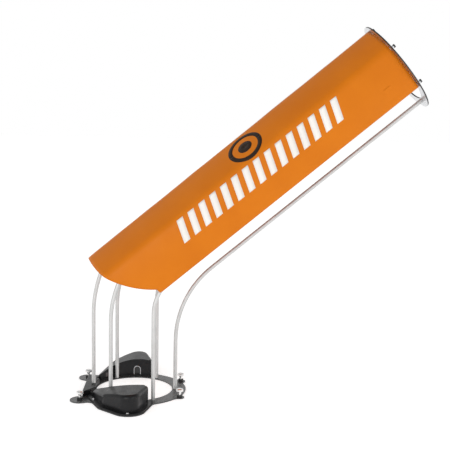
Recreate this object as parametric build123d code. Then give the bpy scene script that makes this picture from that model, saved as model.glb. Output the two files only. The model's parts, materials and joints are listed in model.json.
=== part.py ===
from build123d import *
import math
import os

# Gravity ball feeder. It stands on a ball-throwing machine and lets large balls roll down to it.
# Units are millimetres and degrees. The origin is the centre of the ball outlet, on the underside of
# the base plate. +Z is up, and +X points to the side that the chute rises towards.
# A place on the plate is given as (angle from +X, distance beyond the housings' inner wall). It is on
# the +Y side, and its copy on the -Y side has the sign of y changed.

# ---- Driving dimensions ----
BALL_DIAMETER = 220.0
BALL_TO_ROD = 10.0            # free play between a centred ball and each rod
ROD_DIAMETER = 12.0
ROD_TO_WALL = 2.0             # from the rods to the housings' inner wall
CHUTE_ANGLE = 39.8            # slope of the chute above the horizontal
BEND_HEIGHT = 356.0           # where the vertical axis of the channel meets the sloping axis
CHUTE_LENGTH = 1007.0         # from there to the middle of the top ring

# Bend radius of each rod, on its centre line
TOP_BEND = 380.0
UPPER_BEND = 310.0
LOWER_BEND = 130.0
BOTTOM_BEND = 300.0

# Base plate
PLATE_THICKNESS = 3.0
OUTLET_PLAY = 7.0             # between a centred ball and the edge of the outlet
DISC_MARGIN = 25.0            # from the inner wall to the plate's round edge
NOTCH_MARGIN = 15.0           # from the inner wall to the notch between the rear prongs
PRONG_RADIUS = 30.0
PRONG_ROOT = (45.0, 22.0)     # from the rear screw to the middle of the prong's root
TAB_RADIUS = 14.0
TAB_ROOT = (-60.0, 20.0)      # from the tab's screw to the middle of the tab's root
PLATE_BLEND = 18.0

# Thumb screws
REAR_SCREW = (144.6, 56.0)
TAB_SCREW = (29.1, 28.5)
STUD_DIAMETER = 8.0
STUD_CLEARANCE = 0.08         # radial, between the stud and its boss
STUD_TIP = 0.5                # the stud's end, above the plate's underside
BOSS_DIAMETER = 17.0
BOSS_HEIGHT = 7.0
BOSS_SPIGOT = 12.0
BOSS_EDGE = 1.5
HEAD_DIAMETER = 21.5
HEAD_HEIGHT = 8.0
HEAD_RISE = 26.0              # from the plate to the top of the head
CAP_HEIGHT = 2.0              # the domed end of the head, above the knurl
CAP_SHOULDER = 0.8
CAP_TAPER = 4.0
NECK_HEIGHT = 5.0
NECK_TAPER = 4.5
KNURL_COUNT = 36
KNURL_RADIUS = 0.8
KNURL_OUT = 0.35              # centre of a knurl groove, beyond the head's rim

# Housings: the plan is a hull of four circles (angle, distance, radius), less the round channel
HOUSING_WALL = 3.0
NOSE = (90.8, 69.0, 34.0)
BULGE = (109.6, 39.0, 26.0)
INNER_CORNER = (74.5, 8.2, 12.0)
TAIL = (141.5, 3.4, 12.5)
HOUSING_HEIGHT = 54.0         # above the plate, where the arched top is highest
HOUSING_TOP_X = 10.0          # and how far towards +X that is
TAIL_HEIGHT = 23.3            # of the arched top over the middle of the tail
HOUSING_EDGE = 10.0
UPRIGHT_SHARE = 0.95          # an edge that rises by this share of its length is an upright one
FLANGE_WIDTH = 14.0
FLANGE_THICKNESS = 2.5
GASKET_THICKNESS = 1.5
FLANGE_TO_PLATE_EDGE = 2.5
NOSE_SCREW = (90.7, 110.0)
TAIL_SCREW = (133.0, 31.6)
FLANGE_SCREW_DIAMETER = 4.0
FLANGE_SCREW_HEAD = 8.0
FLANGE_SCREW_HEAD_HEIGHT = 3.0
FLANGE_SCREW_SLOT = (1.0, 1.2)  # width and depth of the driver slot
SCREW_TIP = 0.3               # short screws end this far above the plate's underside

# Rear bridge between the housings
BRIDGE_HEIGHT = 17.0
BRIDGE_WALL = 2.5
BRIDGE_MARGIN = 17.0          # from the inner wall to the bridge's rear face
BRIDGE_INNER_GAP = 2.0        # between the outlet's edge and the bridge
BRIDGE_CUT = (159.1, -10.9)   # the cut across each end of the bridge runs through this point
BRIDGE_CUT_ANGLE = 52.0
BRIDGE_BOSS = (168.5, -3.4)
BRIDGE_BOSS_DIAMETER = 9.0
BRIDGE_SCREW_DIAMETER = 4.0
BRIDGE_BOSS_FLOOR = 2.0       # left above the bridge screws' holes
BRIDGE_SCREW_PLAY = 1.0       # below the end of those holes
BRIDGE_CORNER = 4.0
BRIDGE_EDGE = 1.5
BRIDGE_SLOT = (171.9, -6.7)
BRIDGE_SLOT_TURN = 68.0
BRIDGE_SLOT_LENGTH = 20.0
BRIDGE_SLOT_WIDTH = 3.0
PIECE_GAP = 0.5               # between neighbouring covers

# Gate
GATE_TRAVEL = 30.0
FINGER_WIDTH = 17.4
FINGER_OVER_FLANGE = 0.5
FINGER_ARCH_RISE = 16.5       # from the finger's foot to the centre of its round top
FINGER_PLAY = 0.3
FINGER_LENGTH = 98.0
FINGER_TIP_EDGE = 2.5
FINGER_RECESS = 1.0           # how far the tip sits behind the bezel's face
BEZEL_WALL = 3.0
BEZEL_PROUD = 2.5
BEZEL_LENGTH = 9.0
BEZEL_PLAY = 0.1
BEZEL_EDGE = 1.0
GUIDE_LENGTH = 30.0
GUIDE_WALL = 7.0
GUIDE_ROOF = 6.3
GEAR_MODULE = 1.25
PINION_TEETH = 14
RACK_BACK = 5.3               # from the finger's side to the rack's pitch line
RACK_HEIGHT = 10.0
RACK_RISE = 4.5               # from the finger's foot to the rack
RACK_LEAD = 9.0               # from the rack's near end to the pinion's axis, at rest
RACK_TRAIL = 7.0              # rack left beyond the pinion at full travel
RACK_PLAY = 1.0               # between the rack and the guide's window
RACK_ADDENDUM = 0.8
PINION_ADDENDUM = 0.9
DEDENDUM = 1.25
PRESSURE_ANGLE = 20.0
FLANK_STEPS = 6
GEAR_BACKLASH = 0.5
PINION_SETBACK = 58.0         # pinion axis behind the inner wall
PINION_HUB = 1.5              # the hub stands above the teeth, and the shaft below them
MOTOR_DIAMETER = 24.0
MOTOR_HEIGHT = 20.0
MOTOR_RISE = 16.0             # from the rack's foot to the motor
MOTOR_EDGE = 1.5
MOTOR_SHAFT_DIAMETER = 4.0
SHAFT_IN_MOTOR = 12.0
BRACKET_SHEET = 2.5
BRACKET_HALF = 9.0
BRACKET_FOOT = 11.0
BRACKET_GAP = 4.0             # between the motor's side and the bracket's leg
SMALL_SCREW_DIAMETER = 3.0
SMALL_SCREW_HEAD_HEIGHT = 2.0

# Power, control and sensing
BATTERY_SIZE = (40.0, 28.0, 20.0)
BATTERY_EDGE = 2.5
BOARD_SIZE = (40.0, 28.0, 1.6)
CHIP = (-2.0, 0.0, 12.0, 12.0, 1.8)        # place on the board, then length, width and height
CONNECTOR = (11.0, 0.0, 6.0, 16.0, 6.0)
CAPACITOR = (-14.0, 5.0, 3.2, 9.0)         # place on the board, then radius and height
ELECTRICS = (111.8, 33.0)
ELECTRICS_TURN = 55.0
STANDOFF_HEIGHT = 6.0
STANDOFF_DIAMETER = 5.0
STANDOFF_MARGIN = 3.5
SENSOR_ANGLE = 134.0
SENSOR_SIZE = (7.0, 11.0, 12.0)
SENSOR_EYE = (2.5, 1.0)       # radius and length
SENSOR_GAP = 0.5
WINDOW_SIZE = (12.0, 14.0)
WINDOW_RECESS = 0.6
WINDOW_RISE = 13.0
WINDOW_PLAY = 0.2
HARNESS_DIAMETER = 5.0
HARNESS_MARGIN = 9.0
HARNESS_RISE = 9.0
HARNESS_HALF_ANGLE = 40.0
HARNESS_HOLE = 9.0

# Top ring and what is on it
RING_THICKNESS = 4.0
RING_MARGIN = 22.0            # from the rods' centres to the ring's rim
COLLAR_MARGIN = 0.3
COLLAR_LENGTH = 18.0
SPACER_DIAMETER = 8.5
SPACER_LENGTH = 8.0
RING_SCREW_HEAD = 11.0
RING_SCREW_HEAD_HEIGHT = 5.0
RING_SCREW_EDGE = 1.2
RING_SCREW_SOCKET = (2.9, 3.0)  # radius and depth
ROD_SCREW_DIAMETER = 6.0
ROD_SCREW_DEPTH = 20.0
ROD_SCREW_PLAY = 0.05
BASE_SCREW_SOCKET = (2.3, 2.0)

# Cover sheet
COVER_THICKNESS = 1.6
COVER_PLAY = 0.4              # between the sheet and the rods
COVER_SLEEVE_GAP = 4.0        # from the end of the lower rods' bend to the start of the sleeves
COVER_TOP_GAP = 3.5           # from the middle of the ring to the sheet's upper edge
COVER_CUT_RADIUS = 331.0      # the lower end is cut to this arc, seen from the side
COVER_CUT_X = 65.0
COVER_CUT_DROP = 15.0         # the arc's lowest point, below the chute's bend

# ---- Sizes that follow ----
ROD_CIRCLE = BALL_DIAMETER / 2 + BALL_TO_ROD + ROD_DIAMETER / 2
OUTLET_RADIUS = BALL_DIAMETER / 2 + OUTLET_PLAY
INNER_WALL_RADIUS = ROD_CIRCLE + ROD_DIAMETER / 2 + ROD_TO_WALL
SLOPE = math.radians(CHUTE_ANGLE)
CHUTE_DIR = Vector(math.cos(SLOPE), 0, math.sin(SLOPE))
RING_BACK_S = CHUTE_LENGTH - RING_THICKNESS / 2
RING_FRONT_S = CHUTE_LENGTH + RING_THICKNESS / 2
ROD_END_S = RING_BACK_S - COLLAR_LENGTH
COVER_TOP_S = CHUTE_LENGTH - COVER_TOP_GAP
BASE_SCREW_HEAD = ROD_SCREW_DIAMETER + 2 * PLATE_THICKNESS
HEAD_TOP_Z = PLATE_THICKNESS + HEAD_RISE
HOUSING_TOP_Z = PLATE_THICKNESS + HOUSING_HEIGHT
BRIDGE_TOP_Z = PLATE_THICKNESS + BRIDGE_HEIGHT
BRIDGE_INNER_RADIUS = OUTLET_RADIUS + BRIDGE_INNER_GAP
BRIDGE_REAR_X = -INNER_WALL_RADIUS - BRIDGE_MARGIN
FLANGE_BOTTOM_Z = PLATE_THICKNESS + GASKET_THICKNESS
FLANGE_TOP_Z = FLANGE_BOTTOM_Z + FLANGE_THICKNESS
FINGER_BOTTOM_Z = FLANGE_TOP_Z + FINGER_OVER_FLANGE
FINGER_ARCH_Z = FINGER_BOTTOM_Z + FINGER_ARCH_RISE
BORE_HALF = FINGER_WIDTH / 2 + FINGER_PLAY
BEZEL_HALF = BORE_HALF + BEZEL_WALL
BEZEL_BOTTOM_Z = FINGER_BOTTOM_Z - FINGER_PLAY
BEZEL_FACE_Y = INNER_WALL_RADIUS - BEZEL_PROUD
FINGER_TIP_Y = BEZEL_FACE_Y + FINGER_RECESS
GUIDE_FRONT_Y = BEZEL_FACE_Y + BEZEL_LENGTH
GUIDE_TOP_Z = FINGER_ARCH_Z + FINGER_WIDTH / 2 + GUIDE_ROOF
GEAR_PITCH_RADIUS = GEAR_MODULE * PINION_TEETH / 2
RACK_PITCH_X = -FINGER_WIDTH / 2 - RACK_BACK
RACK_BOTTOM_Z = FINGER_BOTTOM_Z + RACK_RISE
RACK_TOP_Z = RACK_BOTTOM_Z + RACK_HEIGHT
RACK_LENGTH = RACK_LEAD + GATE_TRAVEL + RACK_TRAIL
PINION_X = RACK_PITCH_X - GEAR_PITCH_RADIUS
PINION_Y = INNER_WALL_RADIUS + PINION_SETBACK
MOTOR_BOTTOM_Z = RACK_BOTTOM_Z + MOTOR_RISE
BRACKET_LEG_X = PINION_X - MOTOR_DIAMETER / 2 - BRACKET_GAP
HARNESS_RADIUS = INNER_WALL_RADIUS + HARNESS_MARGIN
HARNESS_Z = PLATE_THICKNESS + HARNESS_RISE
WINDOW_Z = PLATE_THICKNESS + WINDOW_RISE
LARGE = 3 * INNER_WALL_RADIUS + CHUTE_LENGTH   # past every edge of the part
CUT_OVER = 1.0                                 # how far a cut runs past the faces that it opens

# Each rod: its angle round the outlet, from +X, and its bend radius
RODS = {
    "guide_rod_bottom": (0.0, BOTTOM_BEND),
    "guide_rod_lower_back": (60.0, LOWER_BEND),
    "guide_rod_upper_back": (120.0, UPPER_BEND),
    "guide_rod_top": (180.0, TOP_BEND),
    "guide_rod_upper_front": (240.0, UPPER_BEND),
    "guide_rod_lower_front": (300.0, LOWER_BEND),
}


# ---- Helpers ----
def column(radius, bottom, top, x=0.0, y=0.0):
    """An upright cylinder between two heights."""
    return Pos(x, y, bottom) * extrude(Circle(radius), top - bottom)


def slab(sketch, bottom, top):
    """A flat outline made solid between two heights."""
    return Pos(0, 0, bottom) * extrude(sketch, top - bottom)


def block(x0, x1, y0, y1, z0, z1):
    return Pos((x0 + x1) / 2, (y0 + y1) / 2, (z0 + z1) / 2) * Box(x1 - x0, y1 - y0, z1 - z0)


def to_back(shape):
    """The mirror image on the +Y side of a piece made on the -Y side."""
    return mirror(shape, about=Plane.XZ)


def merge(shapes):
    """One compound of separate solids."""
    solids = []
    for shape in shapes:
        solids.extend(shape.solids())
    return Compound(children=solids)


def polar(x, y, radius, turn):
    return x + radius * math.cos(turn), y + radius * math.sin(turn)


def hull(circles):
    """The taut outline round circles (x, y, radius), which are listed anticlockwise."""
    normals = []
    for (x0, y0, r0), (x1, y1, r1) in zip(circles, circles[1:] + circles[:1]):
        heading = math.atan2(y1 - y0, x1 - x0)
        normals.append(heading - math.acos((r0 - r1) / math.hypot(x1 - x0, y1 - y0)))
    edges = []
    for index, (x, y, radius) in enumerate(circles):
        arrive = normals[index - 1]
        leave = normals[index]
        sweep_angle = (leave - arrive) % (2 * math.pi)
        start = polar(x, y, radius, arrive)
        middle = polar(x, y, radius, arrive + sweep_angle / 2)
        end = polar(x, y, radius, leave)
        edges.append(ThreePointArc(start, middle, end))
        following = circles[(index + 1) % len(circles)]
        edges.append(Line(end, polar(*following, leave)))
    return make_face(edges)


def chute_plane(distance):
    """The cross-section of the chute: local x is +Y, local y is the chute's upward normal."""
    return Plane(origin=Vector(0, 0, BEND_HEIGHT) + CHUTE_DIR * distance, x_dir=(0, 1, 0), z_dir=CHUTE_DIR)


def across_chute(angle):
    """A rod's place in the chute's cross-section."""
    turn = math.radians(angle)
    return ROD_CIRCLE * math.sin(turn), -ROD_CIRCLE * math.cos(turn)


def on_chute(angle, radius, start, end):
    """A cylinder on a rod's line between two distances along the chute."""
    place = chute_plane(start) * Pos(*across_chute(angle))
    return place * extrude(Circle(radius), end - start)


def on_plate(angle, beyond):
    """A place on the +Y side of the plate, from its angle and its distance beyond the inner wall."""
    return polar(0, 0, INNER_WALL_RADIUS + beyond, math.radians(angle))


def other_side(place):
    """The same place on the other side of the plate."""
    x, y = place
    return x, -y


def mirrored(places):
    """Places on one side of the plate, followed by their copies on the other."""
    return places + [other_side(place) for place in places]


def rod_foot(angle):
    turn = math.radians(angle)
    return ROD_CIRCLE * math.cos(turn), ROD_CIRCLE * math.sin(turn)


# ---- Rods ----
def bend_end(angle, bend_radius):
    """How far along the chute a rod's bend ends."""
    x, _ = rod_foot(angle)
    corner_s = x * (1 - math.sin(SLOPE)) / math.cos(SLOPE)
    return corner_s + bend_radius * math.tan((math.pi / 2 - SLOPE) / 2)


def rod_path(angle, bend_radius):
    """Up from the plate, round the bend and along the chute to the collar at the top ring."""
    x, y = rod_foot(angle)
    corner_z = BEND_HEIGHT + x * (math.sin(SLOPE) - 1) / math.cos(SLOPE)
    turn = math.pi / 2 - SLOPE
    tangent = bend_radius * math.tan(turn / 2)
    foot = Vector(x, y, PLATE_THICKNESS)
    arc_start = Vector(x, y, corner_z - tangent)
    forward = bend_radius * (1 - math.cos(turn / 2))
    arc_middle = arc_start + Vector(forward, 0, bend_radius * math.sin(turn / 2))
    arc_end = Vector(x, y, corner_z) + CHUTE_DIR * tangent
    v, w = across_chute(angle)
    end = chute_plane(ROD_END_S).from_local_coords(Vector(v, w, 0))
    return Wire([Line(foot, arc_start), ThreePointArc(arc_start, arc_middle, arc_end), Line(arc_end, end)])


def guide_rod(angle, bend_radius):
    x, y = rod_foot(angle)
    profile = Pos(x, y, PLATE_THICKNESS) * Circle(ROD_DIAMETER / 2)
    rod = sweep(profile, path=rod_path(angle, bend_radius))
    hole = ROD_SCREW_DIAMETER / 2 + ROD_SCREW_PLAY
    depth = ROD_SCREW_DEPTH + CUT_OVER
    rod -= column(hole, PLATE_THICKNESS - CUT_OVER, PLATE_THICKNESS + depth, x, y)
    rod -= on_chute(angle, hole, ROD_END_S - depth, ROD_END_S + CUT_OVER)
    return rod


def countersink(head_diameter, shank_diameter, x, y):
    """The cone of a countersunk head whose face is level with the plate's underside."""
    depth = (head_diameter - shank_diameter) / 2
    return Pos(x, y, depth / 2) * Cone(head_diameter / 2, shank_diameter / 2, depth)


def base_screw(angle):
    x, y = rod_foot(angle)
    cone = countersink(BASE_SCREW_HEAD, ROD_SCREW_DIAMETER, x, y)
    shank = column(ROD_SCREW_DIAMETER / 2, 0, PLATE_THICKNESS + ROD_SCREW_DEPTH, x, y)
    radius, depth = BASE_SCREW_SOCKET
    return cone + shank - Pos(x, y, 0) * extrude(RegularPolygon(radius, 6), depth)


def ring_screw(angle):
    start = RING_FRONT_S + SPACER_LENGTH
    head = on_chute(angle, RING_SCREW_HEAD / 2, start, start + RING_SCREW_HEAD_HEIGHT)
    head = fillet(head.edges().sort_by(Axis((0, 0, 0), CHUTE_DIR))[-1], RING_SCREW_EDGE)
    shank = on_chute(angle, ROD_SCREW_DIAMETER / 2, ROD_END_S - ROD_SCREW_DEPTH, start)
    radius, depth = RING_SCREW_SOCKET
    socket_place = chute_plane(start + RING_SCREW_HEAD_HEIGHT - depth) * Pos(*across_chute(angle))
    return head + shank - socket_place * extrude(RegularPolygon(radius, 6), depth + CUT_OVER)


def ring_spacer(angle):
    end = RING_FRONT_S + SPACER_LENGTH
    sleeve = on_chute(angle, SPACER_DIAMETER / 2, RING_FRONT_S, end)
    hole = ROD_SCREW_DIAMETER / 2 + ROD_SCREW_PLAY
    return sleeve - on_chute(angle, hole, RING_FRONT_S - CUT_OVER, end + CUT_OVER)


def rod_collar(angle):
    sleeve = on_chute(angle, ROD_DIAMETER / 2 + COLLAR_MARGIN, ROD_END_S, RING_BACK_S)
    hole = ROD_SCREW_DIAMETER / 2 + ROD_SCREW_PLAY
    return sleeve - on_chute(angle, hole, ROD_END_S - CUT_OVER, RING_BACK_S + CUT_OVER)


def top_ring():
    profile = Circle(ROD_CIRCLE + RING_MARGIN) - Circle(OUTLET_RADIUS)
    ring = chute_plane(RING_BACK_S) * extrude(profile, RING_THICKNESS)
    hole = ROD_SCREW_DIAMETER / 2 + ROD_SCREW_PLAY
    for angle, _ in RODS.values():
        ring -= on_chute(angle, hole, RING_BACK_S - CUT_OVER, RING_FRONT_S + CUT_OVER)
    return ring


# ---- Base plate ----
def plate_arm(screw, radius, root):
    """A round-ended arm on the -Y side that runs from a thumb screw back into the disc."""
    x, y = other_side(on_plate(*screw))
    return hull([(x, y, radius), (x + root[0], y + root[1], radius)])


def plate_outline():
    """A disc with two lobes for the housings, two rear prongs and two tabs for the thumb screws."""
    disc = Circle(INNER_WALL_RADIUS + DISC_MARGIN)
    lobe = hull(housing_circles(-FLANGE_WIDTH - FLANGE_TO_PLATE_EDGE))
    prong = plate_arm(REAR_SCREW, PRONG_RADIUS, PRONG_ROOT)
    front = lobe + prong + plate_arm(TAB_SCREW, TAB_RADIUS, TAB_ROOT)
    outline = disc + front + mirror(front, about=Plane.XZ)
    notch_x = -INNER_WALL_RADIUS - NOTCH_MARGIN
    _, screw_y = on_plate(*REAR_SCREW)
    outline -= Pos(notch_x - LARGE / 2, 0) * Rectangle(LARGE, 2 * (screw_y - PRONG_RADIUS))
    grown = offset(outline, PLATE_BLEND, kind=Kind.ARC)
    return offset(grown, -PLATE_BLEND, kind=Kind.ARC)


def base_plate():
    plate = slab(plate_outline() - Circle(OUTLET_RADIUS), 0, PLATE_THICKNESS)
    holes = [(ROD_SCREW_DIAMETER, rod_foot(angle)) for angle, _ in RODS.values()]
    holes += [(BOSS_SPIGOT, place) for place in thumb_screw_places().values()]
    holes += [(FLANGE_SCREW_DIAMETER, place) for place in mirrored(flange_screw_places())]
    holes += [(SMALL_SCREW_DIAMETER, place) for place in mirrored(bracket_screw_places())]
    for diameter, (x, y) in holes:
        plate -= column(diameter / 2, -CUT_OVER, PLATE_THICKNESS + CUT_OVER, x, y)
    for angle, _ in RODS.values():
        plate -= countersink(BASE_SCREW_HEAD, ROD_SCREW_DIAMETER, *rod_foot(angle))
    for x, y in bridge_boss_places():
        plate -= bridge_screw(x, y)
    return plate


# ---- Thumb screws ----
def thumb_screw_places():
    rear = on_plate(*REAR_SCREW)
    tab = on_plate(*TAB_SCREW)
    return {
        "thumb_screw_rear_front": other_side(rear),
        "thumb_screw_rear_back": rear,
        "thumb_screw_tab_front": other_side(tab),
        "thumb_screw_tab_back": tab,
    }


def knurled_outline():
    """A disc with shallow grooves round its rim."""
    rim = HEAD_DIAMETER / 2 + KNURL_OUT
    grooves = []
    for index in range(KNURL_COUNT):
        place = polar(0, 0, rim, 2 * math.pi * index / KNURL_COUNT)
        grooves.append(Pos(*place) * Circle(KNURL_RADIUS))
    return Circle(HEAD_DIAMETER / 2) - grooves


def upright_cone(lower_radius, upper_radius, bottom, height):
    base = (Align.CENTER, Align.CENTER, Align.MIN)
    return Pos(0, 0, bottom) * Cone(lower_radius, upper_radius, height, align=base)


def thumb_screw(x, y):
    rim = HEAD_DIAMETER / 2
    head_bottom = HEAD_TOP_Z - HEAD_HEIGHT
    knurl_top = HEAD_TOP_Z - CAP_HEIGHT
    head = slab(knurled_outline(), head_bottom, knurl_top)
    cap = upright_cone(rim - CAP_SHOULDER, rim - CAP_TAPER, knurl_top, CAP_HEIGHT)
    neck_foot = STUD_DIAMETER / 2 + CAP_SHOULDER
    neck = upright_cone(neck_foot, rim - NECK_TAPER, head_bottom - NECK_HEIGHT, NECK_HEIGHT)
    stud = column(STUD_DIAMETER / 2, STUD_TIP, head_bottom)
    return Pos(x, y, 0) * (head + cap + neck + stud)


def thumb_boss(x, y):
    top = PLATE_THICKNESS + BOSS_HEIGHT
    flange = column(BOSS_DIAMETER / 2, PLATE_THICKNESS, top)
    flange = fillet(flange.edges().sort_by(Axis.Z)[-1], BOSS_EDGE)
    body = flange + column(BOSS_SPIGOT / 2, 0, PLATE_THICKNESS)
    body -= column(STUD_DIAMETER / 2 + STUD_CLEARANCE, -CUT_OVER, top + CUT_OVER)
    return Pos(x, y, 0) * body


# ---- Housings, made on the -Y side ----
def bridge_side(gap):
    """The wedge that belongs to the bridge: behind a slanting cut across each of its ends."""
    x, y = on_plate(*BRIDGE_CUT)
    turn = math.radians(BRIDGE_CUT_ANGLE)
    tip = (x + (y + gap) / math.tan(turn), 0)
    far_x = x - LARGE * math.cos(turn)
    far_y = y + gap + LARGE * math.sin(turn)
    return make_face(Polyline(tip, (far_x, far_y), (far_x, -far_y), close=True))


def housing_circles(inset):
    """The circles that the footprint on the -Y side is stretched round, made smaller by an inset."""
    circles = []
    for angle, beyond, radius in (TAIL, BULGE, NOSE, INNER_CORNER):
        circles.append((*other_side(on_plate(angle, beyond)), radius - inset))
    return circles


def housing_plan(inset):
    return hull(housing_circles(inset)) - Circle(INNER_WALL_RADIUS + inset)


def arch_radius():
    """Radius of the housings' arched top, from its heights at its crown and over the tail."""
    tail_x, _ = on_plate(*TAIL[:2])
    half_chord = HOUSING_TOP_X - tail_x
    drop = HOUSING_HEIGHT - TAIL_HEIGHT
    return (half_chord ** 2 + drop ** 2) / (2 * drop)


def is_outer_rim(edge):
    """True for the top edges of a housing form away from the ball channel."""
    middle = edge.position_at(0.5)
    low = min(edge.position_at(0).Z, edge.position_at(1).Z)
    near_channel = abs(math.hypot(middle.X, middle.Y) - INNER_WALL_RADIUS) < 2 * HOUSING_WALL
    channel_rim = near_channel and edge.length > 4 * HOUSING_EDGE
    upright = abs(edge.position_at(0).Z - edge.position_at(1).Z) > UPRIGHT_SHARE * edge.length
    return low > FLANGE_TOP_Z and not upright and not channel_rim


def housing_form(inset):
    """The housing's outside, or its cavity when it is made smaller by the wall."""
    base_z = FLANGE_BOTTOM_Z - inset
    form = slab(housing_plan(inset), base_z, HOUSING_TOP_Z + HOUSING_EDGE)
    radius = arch_radius()
    axis = Pos(HOUSING_TOP_X, 0, HOUSING_TOP_Z - radius) * Rot(90, 0, 0)
    arch = axis * Cylinder(radius - inset, LARGE)
    form = form & arch
    rims = [edge for edge in form.edges() if is_outer_rim(edge)]
    return fillet(rims, HOUSING_EDGE - inset)


def flange_plan():
    """The housing's footprint with its screw flange, kept on the plate and clear of the bridge."""
    wide = offset(housing_plan(0), FLANGE_WIDTH, kind=Kind.ARC)
    wide = wide & offset(plate_outline(), -FLANGE_TO_PLATE_EDGE, kind=Kind.ARC)
    return wide - Circle(INNER_WALL_RADIUS) - bridge_side(PIECE_GAP)


def flange_screw_places():
    return [other_side(on_plate(*NOSE_SCREW)), other_side(on_plate(*TAIL_SCREW))]


def flange_holes(bottom, top):
    radius = FLANGE_SCREW_DIAMETER / 2 + ROD_SCREW_PLAY
    return [column(radius, bottom, top, x, y) for x, y in flange_screw_places()]


def skirt(bottom, top):
    ring = slab(flange_plan() - housing_plan(HOUSING_WALL), bottom, top)
    return ring - flange_holes(bottom - CUT_OVER, top + CUT_OVER)


def harness_route(radius, half_angle):
    """A tube of the given radius along the harness's arc round the rear of the outlet."""
    start = Rot(0, 0, 180 - half_angle) * Pos(HARNESS_RADIUS, 0, HARNESS_Z) * Rot(90, 0, 0)
    return revolve(start * Circle(radius), Axis.Z, 2 * half_angle)


def front_housing():
    shell = housing_form(0) - housing_form(HOUSING_WALL)
    shell += skirt(FLANGE_BOTTOM_Z, FLANGE_TOP_Z)
    shell -= slab(bridge_side(PIECE_GAP), 0, HOUSING_TOP_Z)
    shell -= arch_bar(BEZEL_HALF + BEZEL_PLAY, BEZEL_BOTTOM_Z - BEZEL_PLAY, BEZEL_FACE_Y, GUIDE_FRONT_Y)
    return shell - harness_route(HARNESS_HOLE / 2, HARNESS_HALF_ANGLE)


def back_housing():
    width, height = (size + 2 * WINDOW_PLAY for size in WINDOW_SIZE)
    middle = INNER_WALL_RADIUS + HOUSING_WALL / 2
    return to_back(front_housing()) - at_window(middle) * Box(2 * HOUSING_WALL, width, height)


def housing_screw(x, y):
    width, depth = FLANGE_SCREW_SLOT
    head_top = FLANGE_TOP_Z + FLANGE_SCREW_HEAD_HEIGHT
    head = column(FLANGE_SCREW_HEAD / 2, FLANGE_TOP_Z, head_top)
    head = fillet(head.edges().sort_by(Axis.Z)[-1], FLANGE_SCREW_HEAD_HEIGHT / 2)
    half = FLANGE_SCREW_HEAD
    slot = block(-half, half, -width / 2, width / 2, head_top - depth, head_top + CUT_OVER)
    shank = column(FLANGE_SCREW_DIAMETER / 2, SCREW_TIP, FLANGE_TOP_Z)
    return Pos(x, y, 0) * (head - slot + shank)


# ---- Rear bridge ----
def bridge_form(inset):
    """The bridge's outside, or its cavity when it is made smaller by the wall."""
    plan = Pos(BRIDGE_REAR_X + inset + LARGE / 2, 0) * Rectangle(LARGE, LARGE)
    plan = (plan & bridge_side(-inset)) - Circle(BRIDGE_INNER_RADIUS + inset)
    form = slab(plan, PLATE_THICKNESS - inset, BRIDGE_TOP_Z - inset)
    rear_corners = form.edges().filter_by(Axis.Z).sort_by(Axis.X)[:2]
    return fillet(rear_corners, BRIDGE_CORNER - inset)


def bridge_boss_places():
    return mirrored([on_plate(*BRIDGE_BOSS)])


def rear_bridge():
    outside = bridge_form(0)
    rim = outside.edges().filter_by(Plane.XY).group_by(Axis.Z)[-1]
    outside = fillet(rim, BRIDGE_EDGE)
    bridge = outside - bridge_form(BRIDGE_WALL)
    ceiling = BRIDGE_TOP_Z - BRIDGE_WALL
    for x, y in bridge_boss_places():
        bridge += column(BRIDGE_BOSS_DIAMETER / 2, PLATE_THICKNESS, ceiling, x, y)
        bridge -= column(BRIDGE_SCREW_DIAMETER / 2, 0, ceiling - BRIDGE_BOSS_FLOOR, x, y)
    bridge -= column(ROD_DIAMETER / 2 + COVER_PLAY, 0, BRIDGE_TOP_Z + CUT_OVER, *rod_foot(180.0))
    slot = Pos(*other_side(on_plate(*BRIDGE_SLOT)), BRIDGE_TOP_Z) * Rot(0, 0, BRIDGE_SLOT_TURN)
    bridge -= slot * extrude(SlotOverall(BRIDGE_SLOT_LENGTH, BRIDGE_SLOT_WIDTH), 2 * BRIDGE_WALL, both=True)
    return bridge - harness_route(HARNESS_HOLE / 2, HARNESS_HALF_ANGLE)


def bridge_screw(x, y):
    cone = countersink(2 * BRIDGE_SCREW_DIAMETER, BRIDGE_SCREW_DIAMETER, x, y)
    end = BRIDGE_TOP_Z - BRIDGE_WALL - BRIDGE_BOSS_FLOOR - BRIDGE_SCREW_PLAY
    return cone + column(BRIDGE_SCREW_DIAMETER / 2, 0, end, x, y)


# ---- Gate, made on the -Y side ----
def arch_bar(half_width, bottom, near, far):
    """A bar with a round top and flat foot that runs outwards between two distances."""
    profile = Pos(0, FINGER_ARCH_Z) * Circle(half_width)
    profile += Pos(0, (FINGER_ARCH_Z + bottom) / 2) * Rectangle(2 * half_width, FINGER_ARCH_Z - bottom)
    cap = Pos(0, bottom - LARGE / 2) * Rectangle(LARGE, LARGE)
    return Pos(0, -near, 0) * extrude(Plane.XZ * (profile - cap), far - near)


def gate_finger():
    bar = arch_bar(FINGER_WIDTH / 2, FINGER_BOTTOM_Z, FINGER_TIP_Y, FINGER_TIP_Y + FINGER_LENGTH)
    tip = bar.faces().sort_by(Axis.Y)[-1]
    return fillet(tip.edges(), FINGER_TIP_EDGE)


def gate_bezel():
    outer = arch_bar(BEZEL_HALF, BEZEL_BOTTOM_Z, BEZEL_FACE_Y, GUIDE_FRONT_Y)
    face = outer.faces().sort_by(Axis.Y)[-1]
    outer = fillet(face.edges().filter_by(GeomType.CIRCLE), BEZEL_EDGE)
    bore_bottom = BEZEL_BOTTOM_Z - CUT_OVER
    return outer - arch_bar(BORE_HALF, bore_bottom, BEZEL_FACE_Y - CUT_OVER, GUIDE_FRONT_Y + CUT_OVER)


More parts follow.
